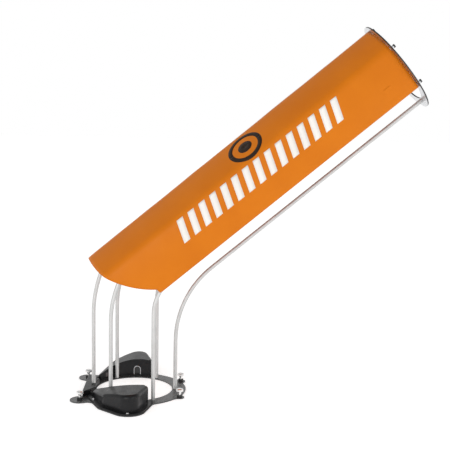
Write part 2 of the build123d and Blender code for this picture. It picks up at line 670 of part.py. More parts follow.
def gate_guide():
    """A block behind the bezel that the finger slides through, with a window for the rack."""
    half = BORE_HALF + GUIDE_WALL
    near = GUIDE_FRONT_Y - CUT_OVER
    far = GUIDE_FRONT_Y + GUIDE_LENGTH + CUT_OVER
    guide = block(-half, half, CUT_OVER - far, -GUIDE_FRONT_Y, PLATE_THICKNESS, GUIDE_TOP_Z)
    guide -= arch_bar(BORE_HALF, BEZEL_BOTTOM_Z, near, far)
    bottom = RACK_BOTTOM_Z - RACK_PLAY
    top = RACK_TOP_Z + RACK_PLAY
    return guide - block(-half - CUT_OVER, 0, -far, -near, bottom, top)


def rack_tooth(y):
    """One tooth of the rack, pointing to -X, centred at a place along Y."""
    flank = math.tan(math.radians(PRESSURE_ANGLE))
    half = (math.pi * GEAR_MODULE / 2 - GEAR_BACKLASH / 2) / 2
    tip_x = RACK_PITCH_X - RACK_ADDENDUM * GEAR_MODULE
    root_x = RACK_PITCH_X + DEDENDUM * GEAR_MODULE
    tip_half = half - RACK_ADDENDUM * GEAR_MODULE * flank
    root_half = half + DEDENDUM * GEAR_MODULE * flank
    near_side = [(root_x, y - root_half), (tip_x, y - tip_half)]
    far_side = [(tip_x, y + tip_half), (root_x, y + root_half)]
    return make_face(Polyline(*near_side, *far_side, close=True))


def gate_rack():
    near = PINION_Y - RACK_LEAD
    far = near + RACK_LENGTH
    root_x = RACK_PITCH_X + DEDENDUM * GEAR_MODULE
    outline = Pos((root_x - FINGER_WIDTH / 2) / 2, -(near + far) / 2)
    outline = outline * Rectangle(-FINGER_WIDTH / 2 - root_x, RACK_LENGTH)
    pitch = math.pi * GEAR_MODULE
    first = -math.floor((RACK_LEAD - pitch / 2) / pitch)
    last = math.floor((RACK_LENGTH - RACK_LEAD - pitch / 2) / pitch)
    for index in range(first, last + 1):
        outline += rack_tooth(-PINION_Y - index * pitch)
    return slab(outline, RACK_BOTTOM_Z, RACK_TOP_Z)


def involute_flank(base_radius, start_radius, end_radius):
    """Angle and radius of points up one flank, with angles counted from the base circle."""
    points = []
    for step in range(FLANK_STEPS + 1):
        radius = start_radius + (end_radius - start_radius) * step / FLANK_STEPS
        if radius <= base_radius:
            points.append((0.0, radius))
        else:
            roll = math.acos(base_radius / radius)
            points.append((math.tan(roll) - roll, radius))
    return points


def pinion_outline():
    base = GEAR_PITCH_RADIUS * math.cos(math.radians(PRESSURE_ANGLE))
    root = GEAR_PITCH_RADIUS - DEDENDUM * GEAR_MODULE
    tip = GEAR_PITCH_RADIUS + PINION_ADDENDUM * GEAR_MODULE
    flank = involute_flank(base, root, tip)
    pitch_roll = math.radians(PRESSURE_ANGLE)
    at_pitch = math.tan(pitch_roll) - pitch_roll
    half_tooth = (math.pi * GEAR_MODULE / 2 - GEAR_BACKLASH / 2) / 2 / GEAR_PITCH_RADIUS
    corners = []
    for tooth in range(PINION_TEETH):
        centre = 2 * math.pi * (tooth + 0.5) / PINION_TEETH
        for angle, radius in flank:
            corners.append(polar(0, 0, radius, centre - half_tooth - at_pitch + angle))
        for angle, radius in reversed(flank):
            corners.append(polar(0, 0, radius, centre + half_tooth + at_pitch - angle))
    return make_face(Polyline(*corners, close=True))


def gate_pinion():
    gear = slab(pinion_outline(), RACK_BOTTOM_Z, RACK_TOP_Z)
    shaft = column(MOTOR_SHAFT_DIAMETER / 2, RACK_BOTTOM_Z - PINION_HUB, MOTOR_BOTTOM_Z + SHAFT_IN_MOTOR)
    hub_radius = (MOTOR_SHAFT_DIAMETER / 2 + GEAR_PITCH_RADIUS - DEDENDUM * GEAR_MODULE) / 2
    hub = column(hub_radius, RACK_BOTTOM_Z, RACK_TOP_Z + PINION_HUB)
    return Pos(PINION_X, -PINION_Y, 0) * (gear + shaft + hub)


def gear_motor():
    top = MOTOR_BOTTOM_Z + MOTOR_HEIGHT
    can = column(MOTOR_DIAMETER / 2, MOTOR_BOTTOM_Z, top)
    can = fillet(can.edges().sort_by(Axis.Z)[-1], MOTOR_EDGE)
    shaft_room = MOTOR_SHAFT_DIAMETER / 2 + STUD_CLEARANCE
    can -= column(shaft_room, 0, MOTOR_BOTTOM_Z + SHAFT_IN_MOTOR + CUT_OVER)
    return Pos(PINION_X, -PINION_Y, 0) * can


def motor_bracket():
    near = -PINION_Y - BRACKET_HALF
    far = -PINION_Y + BRACKET_HALF
    leg_x = BRACKET_LEG_X
    foot_top = PLATE_THICKNESS + BRACKET_SHEET
    shelf_z = MOTOR_BOTTOM_Z - BRACKET_SHEET
    shelf = block(leg_x, PINION_X + MOTOR_DIAMETER / 2, near, far, shelf_z, MOTOR_BOTTOM_Z)
    leg = block(leg_x - BRACKET_SHEET, leg_x, near, far, PLATE_THICKNESS, MOTOR_BOTTOM_Z)
    foot = block(leg_x - BRACKET_FOOT, leg_x, near, far, PLATE_THICKNESS, foot_top)
    bracket = shelf + leg + foot
    bracket -= column(MOTOR_SHAFT_DIAMETER, 0, MOTOR_BOTTOM_Z + CUT_OVER, PINION_X, -PINION_Y)
    for x, y in bracket_screw_places():
        bracket -= column(SMALL_SCREW_DIAMETER / 2 + ROD_SCREW_PLAY, 0, foot_top + CUT_OVER, x, y)
    return bracket


def bracket_screw_places():
    x = BRACKET_LEG_X - (BRACKET_FOOT + BRACKET_SHEET) / 2
    return [(x, -PINION_Y - BRACKET_HALF / 2), (x, -PINION_Y + BRACKET_HALF / 2)]


def bracket_screw(x, y):
    seat = PLATE_THICKNESS + BRACKET_SHEET
    shank = column(SMALL_SCREW_DIAMETER / 2, SCREW_TIP, seat, x, y)
    return shank + column(SMALL_SCREW_DIAMETER, seat, seat + SMALL_SCREW_HEAD_HEIGHT, x, y)


# ---- Power, control and sensing ----
def at_electrics(side):
    """The seat of the battery (side 1, at the back) or of the board (side -1, at the front)."""
    x, y = on_plate(*ELECTRICS)
    return Pos(x, side * y, PLATE_THICKNESS) * Rot(0, 0, side * ELECTRICS_TURN)


def battery_pack():
    length, width, height = BATTERY_SIZE
    pack = Pos(0, 0, height / 2) * Box(length, width, height)
    return at_electrics(1) * fillet(pack.edges(), BATTERY_EDGE)


def standoff_places():
    x = BOARD_SIZE[0] / 2 - STANDOFF_MARGIN
    y = BOARD_SIZE[1] / 2 - STANDOFF_MARGIN
    return [(-x, -y), (x, -y), (-x, y), (x, y)]


def board_standoff(x, y):
    return at_electrics(-1) * column(STANDOFF_DIAMETER / 2, 0, STANDOFF_HEIGHT, x, y)


def control_board():
    length, width, thick = BOARD_SIZE
    top = STANDOFF_HEIGHT + thick
    board = Pos(0, 0, STANDOFF_HEIGHT + thick / 2) * Box(length, width, thick)
    for x, y, part_length, part_width, height in (CHIP, CONNECTOR):
        board += Pos(x, y, top + height / 2) * Box(part_length, part_width, height)
    x, y, radius, height = CAPACITOR
    board += column(radius, top, top + height, x, y)
    return at_electrics(-1) * board


def at_window(radius):
    x, y = polar(0, 0, radius, math.radians(SENSOR_ANGLE))
    return Pos(x, y, WINDOW_Z) * Rot(0, 0, SENSOR_ANGLE)


def sensor_window():
    middle = INNER_WALL_RADIUS + (HOUSING_WALL + WINDOW_RECESS) / 2
    return at_window(middle) * Box(HOUSING_WALL - WINDOW_RECESS, *WINDOW_SIZE)


def ball_sensor():
    depth, width, height = SENSOR_SIZE
    middle = INNER_WALL_RADIUS + HOUSING_WALL + SENSOR_GAP + depth / 2
    body = Box(depth, width, height) + Pos(-depth / 2, 0, 0) * Rot(0, 90, 0) * Cylinder(*SENSOR_EYE)
    return at_window(middle) * body


def wire_harness():
    return harness_route(HARNESS_DIAMETER / 2, HARNESS_HALF_ANGLE)


# ---- Cover sheet ----
def cover_hull(radius):
    circles = [(*across_chute(angle), radius) for angle in (300.0, 60.0, 120.0, 180.0, 240.0)]
    return hull(circles)


def cover_profile():
    """The sheet over five rods, open below, with a sleeve round each of the two lowest."""
    inner = ROD_DIAMETER / 2 + COVER_PLAY
    outer = inner + COVER_THICKNESS
    v, w = across_chute(60.0)
    band = cover_hull(outer) - cover_hull(inner)
    band -= Pos(0, w) * Rectangle(2 * v, 4 * outer)
    for side in (-1, 1):
        band += Pos(side * v, w) * Circle(outer)
    for side in (-1, 1):
        band -= Pos(side * v, w) * Circle(inner)
    return band


def cover_sheet():
    start = -COVER_CUT_RADIUS
    sheet = chute_plane(start) * extrude(cover_profile(), COVER_TOP_S - start)
    v, w = across_chute(60.0)
    sleeve_width = 2 * v + ROD_DIAMETER + COVER_PLAY
    sleeve_room = Pos(0, w - ROD_DIAMETER) * Rectangle(sleeve_width, 3 * ROD_DIAMETER)
    sleeve_start = bend_end(60.0, LOWER_BEND) + COVER_SLEEVE_GAP
    sheet -= chute_plane(start) * extrude(sleeve_room, sleeve_start - start)
    centre_z = BEND_HEIGHT - COVER_CUT_DROP + COVER_CUT_RADIUS
    axis = Pos(COVER_CUT_X, 0, centre_z) * Rot(90, 0, 0)
    kept = axis * Cylinder(COVER_CUT_RADIUS, LARGE)
    kept += block(COVER_CUT_X, 2 * LARGE, -LARGE, LARGE, -LARGE, 2 * LARGE)
    kept += block(-LARGE, COVER_CUT_X + CUT_OVER, -LARGE, LARGE, centre_z, 2 * LARGE)
    return sheet & kept


# ---- Build ----
def build_parts():
    parts = {
        "base_plate": base_plate(),
        "top_ring": top_ring(),
        "rear_bridge": rear_bridge(),
        "cover_sheet": cover_sheet(),
        "battery_pack": battery_pack(),
        "control_board": control_board(),
        "sensor_window": sensor_window(),
        "ball_sensor": ball_sensor(),
        "wire_harness": wire_harness(),
        "front_housing": front_housing(),
        "back_housing": back_housing(),
    }
    front_only = {
        "gasket": skirt(PLATE_THICKNESS, FLANGE_BOTTOM_Z),
        "gate_bezel": gate_bezel(),
        "gate_guide": gate_guide(),
        "gate_finger": gate_finger(),
        "gate_rack": gate_rack(),
        "pinion": gate_pinion(),
        "gear_motor": gear_motor(),
        "motor_bracket": motor_bracket(),
    }
    for name, shape in front_only.items():
        parts["front_" + name] = shape
        parts["back_" + name] = to_back(shape)
    for name, (angle, bend_radius) in RODS.items():
        parts[name] = guide_rod(angle, bend_radius)
    for name, place in thumb_screw_places().items():
        parts[name] = thumb_screw(*place)
    angles = [angle for angle, _ in RODS.values()]
    flange_screws = [housing_screw(x, y) for x, y in flange_screw_places()]
    bracket_screws = [bracket_screw(x, y) for x, y in bracket_screw_places()]
    parts["rod_base_screws"] = merge([base_screw(angle) for angle in angles])
    parts["rod_collars"] = merge([rod_collar(angle) for angle in angles])
    parts["ring_spacers"] = merge([ring_spacer(angle) for angle in angles])
    parts["ring_screws"] = merge([ring_screw(angle) for angle in angles])
    parts["thumb_screw_bosses"] = merge([thumb_boss(x, y) for x, y in thumb_screw_places().values()])
    parts["housing_screws"] = merge(flange_screws + [to_back(screw) for screw in flange_screws])
    parts["bracket_screws"] = merge(bracket_screws + [to_back(screw) for screw in bracket_screws])
    parts["bridge_screws"] = merge([bridge_screw(x, y) for x, y in bridge_boss_places()])
    parts["board_standoffs"] = merge([board_standoff(x, y) for x, y in standoff_places()])
    return parts


os.makedirs("parts", exist_ok=True)
for node, shape in build_parts().items():
    export_step(shape, "parts/" + node + ".step")
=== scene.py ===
"""Looks of the ball feeder: materials, the stretched orange cover with its prints, studio and camera.

All lengths are in metres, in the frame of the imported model: origin in the middle of the ball outlet,
+Z up, +X towards the side that the chute rises to, -Y to the front.
"""

import json
import math

import bpy
from mathutils import Matrix, Vector


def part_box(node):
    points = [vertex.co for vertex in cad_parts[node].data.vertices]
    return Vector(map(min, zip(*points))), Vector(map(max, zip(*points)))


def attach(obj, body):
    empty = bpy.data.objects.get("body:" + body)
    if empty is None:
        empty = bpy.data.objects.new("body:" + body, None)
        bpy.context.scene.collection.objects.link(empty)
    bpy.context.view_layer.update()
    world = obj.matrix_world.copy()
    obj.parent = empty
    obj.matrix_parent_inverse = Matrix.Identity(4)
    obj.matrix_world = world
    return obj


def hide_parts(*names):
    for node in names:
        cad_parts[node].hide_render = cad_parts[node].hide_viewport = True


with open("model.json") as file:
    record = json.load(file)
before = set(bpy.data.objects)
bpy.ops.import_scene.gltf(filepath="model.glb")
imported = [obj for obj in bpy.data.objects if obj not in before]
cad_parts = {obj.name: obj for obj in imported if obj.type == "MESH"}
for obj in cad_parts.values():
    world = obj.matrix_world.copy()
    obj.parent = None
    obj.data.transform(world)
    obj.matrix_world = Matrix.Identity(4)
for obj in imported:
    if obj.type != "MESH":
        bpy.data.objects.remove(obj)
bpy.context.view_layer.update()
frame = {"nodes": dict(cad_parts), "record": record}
RECORD = frame["record"]

# ---- The chute, read from the frame ----
MOUTH = next(mount for mount in RECORD["mounts"] if mount["name"] == "ring_mouth")
CHUTE_DIR = Vector(MOUTH["axis"]).normalized()
CHUTE_NORMAL = Vector((-CHUTE_DIR.z, 0.0, CHUTE_DIR.x))
SIDE = Vector((0.0, 1.0, 0.0))
BEND_TO_MOUTH = MOUTH["pos_m"][0] / CHUTE_DIR.x
BEND_POINT = Vector(MOUTH["pos_m"]) - CHUTE_DIR * BEND_TO_MOUTH
LOWER_ROD_LOW, LOWER_ROD_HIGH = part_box("guide_rod_lower_front")
ROD_RADIUS = (LOWER_ROD_HIGH.y - LOWER_ROD_LOW.y) / 2
ROD_CIRCLE = -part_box("guide_rod_top")[0].x - ROD_RADIUS

# ---- Cover sheet ----
SHEET_THICKNESS = 0.0011
SHEET_TO_ROD = 0.0009
CORNER_RADIUS = 0.041         # how softly the sheet turns over a rod
FACET_TURN = math.radians(15.0)
FACET_STEP = math.radians(60.0)
SLEEVE_RADIUS = 0.0092
SLEEVE_DROP = 0.0011          # the sleeve hangs this far below the rod's centre
SLEEVE_WRAP = math.radians(205.0)
SLEEVE_TO_LOWEST = math.radians(75.0)
HEM_RISE = 0.031
HEM_TURN = math.radians(31.0)
HEM_TURN_RADIUS = 0.012
HEM_END = 0.012
COVER_TOP_GAP = 0.0035        # from the cover's upper edge to the middle of the ring
CUT_RADIUS = 0.331            # the lower edge, seen from the side, is an arc about this centre
CUT_CENTRE = (0.065, 0.672)
FLAP_START = 0.047            # the lower front corner, along the chute from its bend
SLEEVE_START = 0.0944
COLUMN_STEP = 0.004
ROW_COUNT = 110
RIPPLES = ((0.0007, 0.31, 0.4), (0.0004, 0.17, 2.1), (0.0003, 0.095, 4.0))  # height, wave, phase
RIPPLE_SLANT = 9.0            # how much a ripple's phase changes across the sheet, per metre
RIPPLE_ON_ROD = 0.35          # share of a ripple that is left where the sheet lies on a rod
RIPPLE_TO_HEM = 0.02          # flat strip above the sleeves

# ---- Prints on the cover ----
PRINT_THICKNESS = 0.00025
BAND_START = 0.208
BAND_END = 0.79
BAND_BAR_COUNT = 15
BAND_BAR_SHARE = 0.56         # of the distance from one bar to the next
BAND_HALF_HEIGHT = 0.033
BAND_LOW_CENTRE = 0.031       # above the middle of the front facet, at the band's lower end
BAND_HIGH_CENTRE = 0.024
BAND_SLANT = 0.35
MARK_PLACE = (0.508, 0.126)   # along the chute, and above the middle of the front facet
MARK_RING = (0.043, 0.057)
MARK_DISC = (0.0005, 0.023)
PRINT_STEPS = 12

# ---- Colours and grain ----
ORANGE = ((0.57, 0.15, 0.004), (0.61, 0.167, 0.005))
WHITE_INK = ((0.74, 0.71, 0.67), (0.8, 0.77, 0.73))
BLACK_INK = ((0.02, 0.012, 0.008), (0.03, 0.018, 0.012))
WEAVE_PITCH = 0.0016
WAVES_PER_UNIT = 3.183        # of a wave texture with a scale of 1
NOISE_LOW = 0.3               # a noise texture mostly stays between these two values
NOISE_HIGH = 0.7
RIM_LIMIT = 0.5               # a face whose normal leans less than this along the axis is on the rim

# ---- Studio ----
CAMERA_PLACE = (0.1949, -2.8328, 0.9234)
CAMERA_YAW = 0.0273
CAMERA_PITCH = 0.1419
CAMERA_ROLL = 0.0177
CAMERA_LENS = 75.47
SENSOR_WIDTH = 36.0
FLOOR_SIZE = 30.0
FLOOR_GLOW = 0.5
FLOOR_DROP = 0.0005           # the floor lies this far below the plate
LIGHT_TARGET = (0.3, 0.0, 0.6)
LIGHT_SIZE = 1.8
KEY_LIGHT = ((-1.2, -3.2, 1.1), 32.0)
FILL_LIGHT = ((2.6, -2.4, 0.9), 12.0)
SKY_LOW = 1.0
SKY_HIGH = 0.4


# ---- Node helpers ----
def new_material(name, color, roughness, metallic=0.0):
    """A material whose Principled shader has the given constants on its own sockets."""
    material = bpy.data.materials.new(name)
    material.use_nodes = True
    shader = material.node_tree.nodes["Principled BSDF"]
    shader.inputs["Base Color"].default_value = (*color, 1.0)
    shader.inputs["Roughness"].default_value = roughness
    shader.inputs["Metallic"].default_value = metallic
    return material, shader


def noise(material, scale, detail=3.0, stretch=(1.0, 1.0, 1.0)):
    """A noise texture in the object's own coordinates, with cells about 1/scale metres across."""
    nodes, links = material.node_tree.nodes, material.node_tree.links
    coordinates = nodes.new("ShaderNodeTexCoord")
    mapping = nodes.new("ShaderNodeMapping")
    mapping.inputs["Scale"].default_value = stretch
    texture = nodes.new("ShaderNodeTexNoise")
    texture.inputs["Scale"].default_value = scale
    texture.inputs["Detail"].default_value = detail
    links.new(coordinates.outputs["Object"], mapping.inputs["Vector"])
    links.new(mapping.outputs["Vector"], texture.inputs["Vector"])
    return texture.outputs["Fac"]


def vary_roughness(material, shader, factor, low, high):
    """Lets a texture move the roughness between two values."""
    spread = material.node_tree.nodes.new("ShaderNodeMapRange")
    spread.inputs["From Min"].default_value = NOISE_LOW
    spread.inputs["From Max"].default_value = NOISE_HIGH
    spread.inputs["To Min"].default_value = low
    spread.inputs["To Max"].default_value = high
    material.node_tree.links.new(factor, spread.inputs["Value"])
    material.node_tree.links.new(spread.outputs["Result"], shader.inputs["Roughness"])


def vary_color(material, shader, factor, dark, light):
    """Lets a texture move the base colour between two colours."""
    ramp = material.node_tree.nodes.new("ShaderNodeValToRGB")
    ramp.color_ramp.elements[0].position = NOISE_LOW
    ramp.color_ramp.elements[0].color = (*dark, 1.0)
    ramp.color_ramp.elements[1].position = NOISE_HIGH
    ramp.color_ramp.elements[1].color = (*light, 1.0)
    material.node_tree.links.new(factor, ramp.inputs["Fac"])
    material.node_tree.links.new(ramp.outputs["Color"], shader.inputs["Base Color"])


def add_bump(material, shader, factor, strength, distance):
    """Lets a texture raise the surface by up to a distance."""
    bump = material.node_tree.nodes.new("ShaderNodeBump")
    bump.inputs["Strength"].default_value = strength
    bump.inputs["Distance"].default_value = distance
    material.node_tree.links.new(factor, bump.inputs["Height"])
    material.node_tree.links.new(bump.outputs["Normal"], shader.inputs["Normal"])


# ---- Materials ----
def powder_coat():
    """Black powder coat: a fine pebbled skin, semi-matt, a little lighter on its high spots."""
    material, shader = new_material("powder_coat", (0.04, 0.04, 0.041), 0.32)
    vary_color(material, shader, noise(material, 500.0), (0.03, 0.03, 0.031), (0.055, 0.055, 0.056))
    vary_roughness(material, shader, noise(material, 60.0), 0.2, 0.32)
    add_bump(material, shader, noise(material, 900.0, 2.0), 0.5, 0.0002)
    return material


def moulded_plastic():
    """Black moulded housing plastic with a fine grain and a soft gloss."""
    material, shader = new_material("moulded_plastic", (0.009, 0.009, 0.01), 0.3)
    shader.inputs["Specular IOR Level"].default_value = 0.22
    vary_color(material, shader, noise(material, 35.0), (0.007, 0.007, 0.008), (0.012, 0.012, 0.013))
    vary_roughness(material, shader, noise(material, 45.0), 0.26, 0.35)
    add_bump(material, shader, noise(material, 1500.0, 2.0), 0.35, 0.0001)
    return material


def satin_aluminium():
    """Satin anodised rod: pale metal with a fine tooth that blurs what it mirrors."""
    material, shader = new_material("satin_aluminium", (0.56, 0.56, 0.555), 0.48, 0.5)
    vary_color(material, shader, noise(material, 25.0), (0.53, 0.53, 0.525), (0.59, 0.59, 0.585))
    vary_roughness(material, shader, noise(material, 160.0, 4.0), 0.42, 0.54)
    add_bump(material, shader, noise(material, 2500.0, 2.0), 0.2, 0.00005)
    return material


def turned_aluminium():
    """Bright turned aluminium of the knurled screws, with fine lathe rings."""
    material, shader = new_material("turned_aluminium", (0.84, 0.84, 0.835), 0.24, 1.0)
    vary_roughness(material, shader, noise(material, 300.0, 4.0), 0.18, 0.32)
    add_bump(material, shader, noise(material, 200.0, 2.0, (0.2, 0.2, 20.0)), 0.25, 0.00005)
    return material


def zinc_steel():
    """Zinc-plated screws: bright, with a faint blue-grey mottling."""
    material, shader = new_material("zinc_steel", (0.66, 0.67, 0.69), 0.3, 1.0)
    vary_color(material, shader, noise(material, 400.0), (0.58, 0.6, 0.63), (0.72, 0.72, 0.72))
    vary_roughness(material, shader, noise(material, 600.0), 0.22, 0.38)
    return material


def black_oxide():
    """Black-oxide screw heads: dark, oily metal with worn, lighter high spots."""
    material, shader = new_material("black_oxide", (0.05, 0.05, 0.052), 0.35, 1.0)
    vary_color(material, shader, noise(material, 700.0), (0.035, 0.035, 0.037), (0.11, 0.11, 0.11))
    vary_roughness(material, shader, noise(material, 500.0), 0.28, 0.45)
    return material


def chrome_dimmed_painted_shade():
    """Chrome of the gate's arch, with faint polishing haze; its base colour is dimmed as painted shade for
    the dark surroundings that the arch mirrors.
    """
    # the dark grey base colour is painted shade: it stands in for the dark reflection of the arch's inside
    material, shader = new_material("chrome_dimmed_painted_shade", (0.34, 0.34, 0.35), 0.09, 1.0)
    vary_roughness(material, shader, noise(material, 250.0, 5.0), 0.06, 0.14)
    return material


def drawn_can():
    """Drawn steel of the gear motors' cans, streaked along their height."""
    material, shader = new_material("drawn_can", (0.55, 0.55, 0.56), 0.36, 1.0)
    vary_roughness(material, shader, noise(material, 600.0, 4.0, (1.0, 1.0, 0.05)), 0.28, 0.45)
    return material


def cut_brass():
    """Cut brass of the pinions and standoffs."""
    material, shader = new_material("cut_brass", (0.75, 0.53, 0.22), 0.28, 1.0)
    vary_color(material, shader, noise(material, 250.0), (0.62, 0.42, 0.16), (0.8, 0.6, 0.28))
    vary_roughness(material, shader, noise(material, 500.0), 0.2, 0.38)
    return material


def black_acetal():
    """Black machined acetal: satin, with a slightly waxy sheen."""
    material, shader = new_material("black_acetal", (0.014, 0.014, 0.014), 0.3)
    vary_roughness(material, shader, noise(material, 200.0), 0.26, 0.38)
    add_bump(material, shader, noise(material, 1200.0, 2.0), 0.15, 0.00005)
    return material


def white_acetal():
    """Natural acetal of the guides and racks."""
    material, shader = new_material("white_acetal", (0.8, 0.79, 0.75), 0.38)
    vary_color(material, shader, noise(material, 60.0), (0.76, 0.75, 0.7), (0.84, 0.83, 0.8))
    shader.inputs["Subsurface Weight"].default_value = 0.1
    shader.inputs["Subsurface Radius"].default_value = (0.002, 0.002, 0.002)
    return material


def seal_rubber():
    """Matt black rubber of the gaskets and the harness sleeve."""
    material, shader = new_material("seal_rubber", (0.016, 0.016, 0.016), 0.7)
    vary_roughness(material, shader, noise(material, 300.0), 0.6, 0.8)
    add_bump(material, shader, noise(material, 1800.0, 2.0), 0.3, 0.0001)
    return material


def shrink_wrap():
    """Blue shrink wrap round the battery."""
    material, shader = new_material("shrink_wrap", (0.03, 0.1, 0.36), 0.25)
    vary_color(material, shader, noise(material, 80.0), (0.025, 0.085, 0.3), (0.04, 0.12, 0.42))
    add_bump(material, shader, noise(material, 120.0, 2.0), 0.3, 0.0003)
    return material


def solder_mask():
    """Green solder mask of the control board."""
    material, shader = new_material("solder_mask", (0.01, 0.16, 0.05), 0.3)
    vary_color(material, shader, noise(material, 900.0), (0.008, 0.11, 0.035), (0.015, 0.22, 0.07))
    return material


def smoked_window():
    """Smoked acrylic in front of the ball sensor."""
    material, shader = new_material("smoked_window", (0.03, 0.012, 0.012), 0.06)
    vary_roughness(material, shader, noise(material, 120.0), 0.04, 0.1)
    shader.inputs["Coat Weight"].default_value = 0.5
    return material


def weave_height(material, pitch):
    """A plain weave under the sheet's coating, from two crossing waves along its own UV directions."""
    nodes, links = material.node_tree.nodes, material.node_tree.links
    coordinates = nodes.new("ShaderNodeTexCoord")
    waves = []
    for direction in ("X", "Y"):
        wave = nodes.new("ShaderNodeTexWave")
        wave.bands_direction = direction
        wave.wave_profile = "SIN"
        wave.inputs["Scale"].default_value = 1.0 / pitch / WAVES_PER_UNIT
        wave.inputs["Distortion"].default_value = 0.4
        wave.inputs["Detail Scale"].default_value = 3.0
        links.new(coordinates.outputs["UV"], wave.inputs["Vector"])
        waves.append(wave.outputs["Fac"])
    product = nodes.new("ShaderNodeMath")
    product.operation = "MULTIPLY"
    links.new(waves[0], product.inputs[0])
    links.new(waves[1], product.inputs[1])
    return product.outputs["Value"]


def coated_sheet(name, dark, light, roughness_low, roughness_high):
    """Coated polyester sheet: faint clouding, a satin coat, and the weave showing through a little."""
    material, shader = new_material(name, light, roughness_low)
    vary_color(material, shader, noise(material, 9.0, 4.0), dark, light)
    vary_roughness(material, shader, noise(material, 30.0, 4.0), roughness_low, roughness_high)
    add_bump(material, shader, weave_height(material, WEAVE_PITCH), 0.22, 0.00012)
    shader.inputs["Specular IOR Level"].default_value = 0.12
    return material


FINISHES = {
    "powder_black": powder_coat,
    "rod_aluminium": satin_aluminium,
    "housing_plastic": moulded_plastic,
    "seal_rubber": seal_rubber,
    "bright_steel": zinc_steel,
    "black_steel": black_oxide,
    "knurled_aluminium": turned_aluminium,
    "bezel_chrome": chrome_dimmed_painted_shade,
    "black_acetal": black_acetal,
    "white_acetal": white_acetal,
    "gear_brass": cut_brass,
    "motor_steel": drawn_can,
    "battery_wrap": shrink_wrap,
    "board_green": solder_mask,
    "window_smoked": smoked_window,
    "harness_rubber": seal_rubber,
}


def blacken_rim(node, axis):
    """Gives the edges of a flat ring a black finish, and leaves its two flat faces."""
    mesh = node.data
    mesh.materials.append(black_oxide())
    for polygon in mesh.polygons:
        if abs(polygon.normal.dot(axis)) < RIM_LIMIT:
            polygon.material_index = 1


def finish_cad_nodes():
    """Gives each CAD node the finish that its record slot names."""
    made = {}
    for part in RECORD["subparts"]:
        finish = FINISHES.get(part["material_slot"])
        if finish is None:
            continue
        if finish not in made:
            made[finish] = finish()
        mesh = frame["nodes"][part["node"]].data
        mesh.materials.clear()
        mesh.materials.append(made[finish])


# ---- The cover's cross-section ----
def facet_radius(centre_distance):
    """Radius of the shallow arc of a facet that meets the corner arcs smoothly, less the corner radius."""
    half_step = FACET_STEP / 2
    corner_half = (FACET_STEP - FACET_TURN) / 2
    return centre_distance * math.sin(half_step) / math.sin(half_step - corner_half)


def section_segments():
    """Front half of the section from its top: (length, curvature) pieces, turning down positive."""
    apex = ROD_CIRCLE + ROD_RADIUS + SHEET_TO_ROD + SHEET_THICKNESS / 2
    centre_distance = apex - CORNER_RADIUS
    extra = facet_radius(centre_distance)
    facet = extra + CORNER_RADIUS
    corner_turn = FACET_STEP - FACET_TURN
    middle_out = extra_to_middle(centre_distance, extra) + CORNER_RADIUS
    sleeve_out = ROD_CIRCLE * math.sin(FACET_STEP)
    sleeve_up = ROD_CIRCLE * math.cos(FACET_STEP) + SLEEVE_DROP
    lower, lower_turn = arc_to_circle(middle_out - sleeve_out, sleeve_up)
    return [
        (CORNER_RADIUS * corner_turn / 2, 1 / CORNER_RADIUS),
        (facet * FACET_TURN, 1 / facet),
        (CORNER_RADIUS * corner_turn, 1 / CORNER_RADIUS),
        (facet * FACET_TURN / 2, 1 / facet),
        (lower * lower_turn, 1 / lower),
        (SLEEVE_RADIUS * SLEEVE_WRAP, 1 / SLEEVE_RADIUS),
        (HEM_RISE, 0.0),
        (HEM_TURN_RADIUS * HEM_TURN, -1 / HEM_TURN_RADIUS),
        (HEM_END, 0.0),
    ]


def extra_to_middle(centre_distance, extra):
    """How far out the middle of a facet lies, less the corner radius."""
    half = (FACET_STEP - FACET_TURN) / 2
    across = extra * math.sin(half)
    inward = extra * math.cos(half) - centre_distance
    return extra - math.hypot(inward, across)


def arc_to_circle(out, down):
    """Radius and turn of the arc from the facet's middle that runs smoothly into the sleeve's circle."""
    radius = (down ** 2 + out ** 2 - SLEEVE_RADIUS ** 2) / (2 * (out - SLEEVE_RADIUS))
    return radius, math.asin(down / (radius - SLEEVE_RADIUS))


SEGMENTS = section_segments()
MIDDLE_DISTANCE = sum(length for length, _ in SEGMENTS[:4])
LOWEST_DISTANCE = sum(length for length, _ in SEGMENTS[:5]) + SLEEVE_RADIUS * SLEEVE_TO_LOWEST
HALF_WIDTH = sum(length for length, _ in SEGMENTS)


def section_point(distance):
    """Sideways place, height and outward direction of the section at a distance from its top."""
    side = 1.0 if distance < 0 else -1.0
    left = abs(distance)
    x, y = 0.0, ROD_CIRCLE + ROD_RADIUS + SHEET_TO_ROD + SHEET_THICKNESS / 2
    heading = 0.0
    for length, curvature in SEGMENTS:
        step = min(left, length)
        turn = step * curvature
        if curvature:
            x += (math.sin(heading + turn) - math.sin(heading)) / curvature
            y += (math.cos(heading + turn) - math.cos(heading)) / curvature
        else:
            x += step * math.cos(heading)
            y -= step * math.sin(heading)
        heading += turn
        left -= step
        if left <= 0:
            break
    return side * x, y, (side * math.sin(heading), math.cos(heading))


def ripple(along, distance):
    """Small waves of the stretched sheet, which fade where it lies on a rod."""
    facet_share = math.sin(math.pi * abs(distance) / (2 * MIDDLE_DISTANCE)) ** 2
    total = 0.0
    for index, (height, wave, phase) in enumerate(RIPPLES):
        shift = phase + RIPPLE_SLANT * distance * (index - 1)
        total += height * math.sin(2 * math.pi * along / wave + shift)
    if abs(distance) >= LOWEST_DISTANCE - RIPPLE_TO_HEM:
        return 0.0
    return total * (RIPPLE_ON_ROD + (1 - RIPPLE_ON_ROD) * facet_share)


def on_cover(along, distance, lift=0.0):
    """A point of the cover: along the chute from its bend, across it from its top, and above it."""
    across, up, (out_across, out_up) = section_point(distance)
    lift += ripple(along, distance)
    flat = SIDE * (across + out_across * lift) + CHUTE_NORMAL * (up + out_up * lift)
    return BEND_POINT + CHUTE_DIR * along + flat


